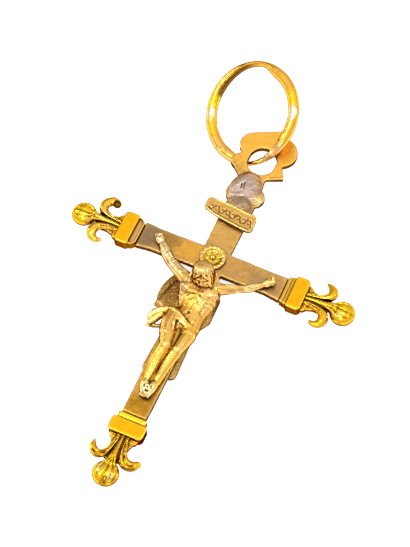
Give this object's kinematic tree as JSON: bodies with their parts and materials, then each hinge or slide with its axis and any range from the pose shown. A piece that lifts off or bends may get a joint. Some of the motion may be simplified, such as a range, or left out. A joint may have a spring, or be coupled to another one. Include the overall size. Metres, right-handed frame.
{
  "type": "cross pendant",
  "caption": "Gold crucifix pendant with fleur-de-lis ends, a figure on each side, a pierced top plate and a large worn jump ring.",
  "frame": {"origin": "middle of the outline in X and Y, on the surface that the pendant lies on", "axes": "+X along the crossbar to the right as seen from the front, +Y up the upright to the ring, +Z out of the front"},
  "size_m": [0.0308, 0.0483, 0.006],
  "materials": {
    "beams": "worn satin gold sheet with fine pits and a grey solder repair at the neck",
    "terminals": "cast yellow gold with polished rims and dark recesses",
    "halo": "polished gold disc with a grained rim",
    "scroll": "satin gold strip with worn incised work",
    "corpus": "pale cast gold, polished on the high places",
    "back_figure": "rough dark gold casting",
    "ring": "polished gold wire"
  },
  "bodies": {
    "root": {"cross_beams": "beams", "terminal_left": "terminals", "terminal_right": "terminals", "terminal_foot": "terminals", "halo": "halo", "title_scroll": "scroll", "corpus": "corpus", "back_figure": "back_figure", "jump_ring": "ring"}
  },
  "joints": []
}
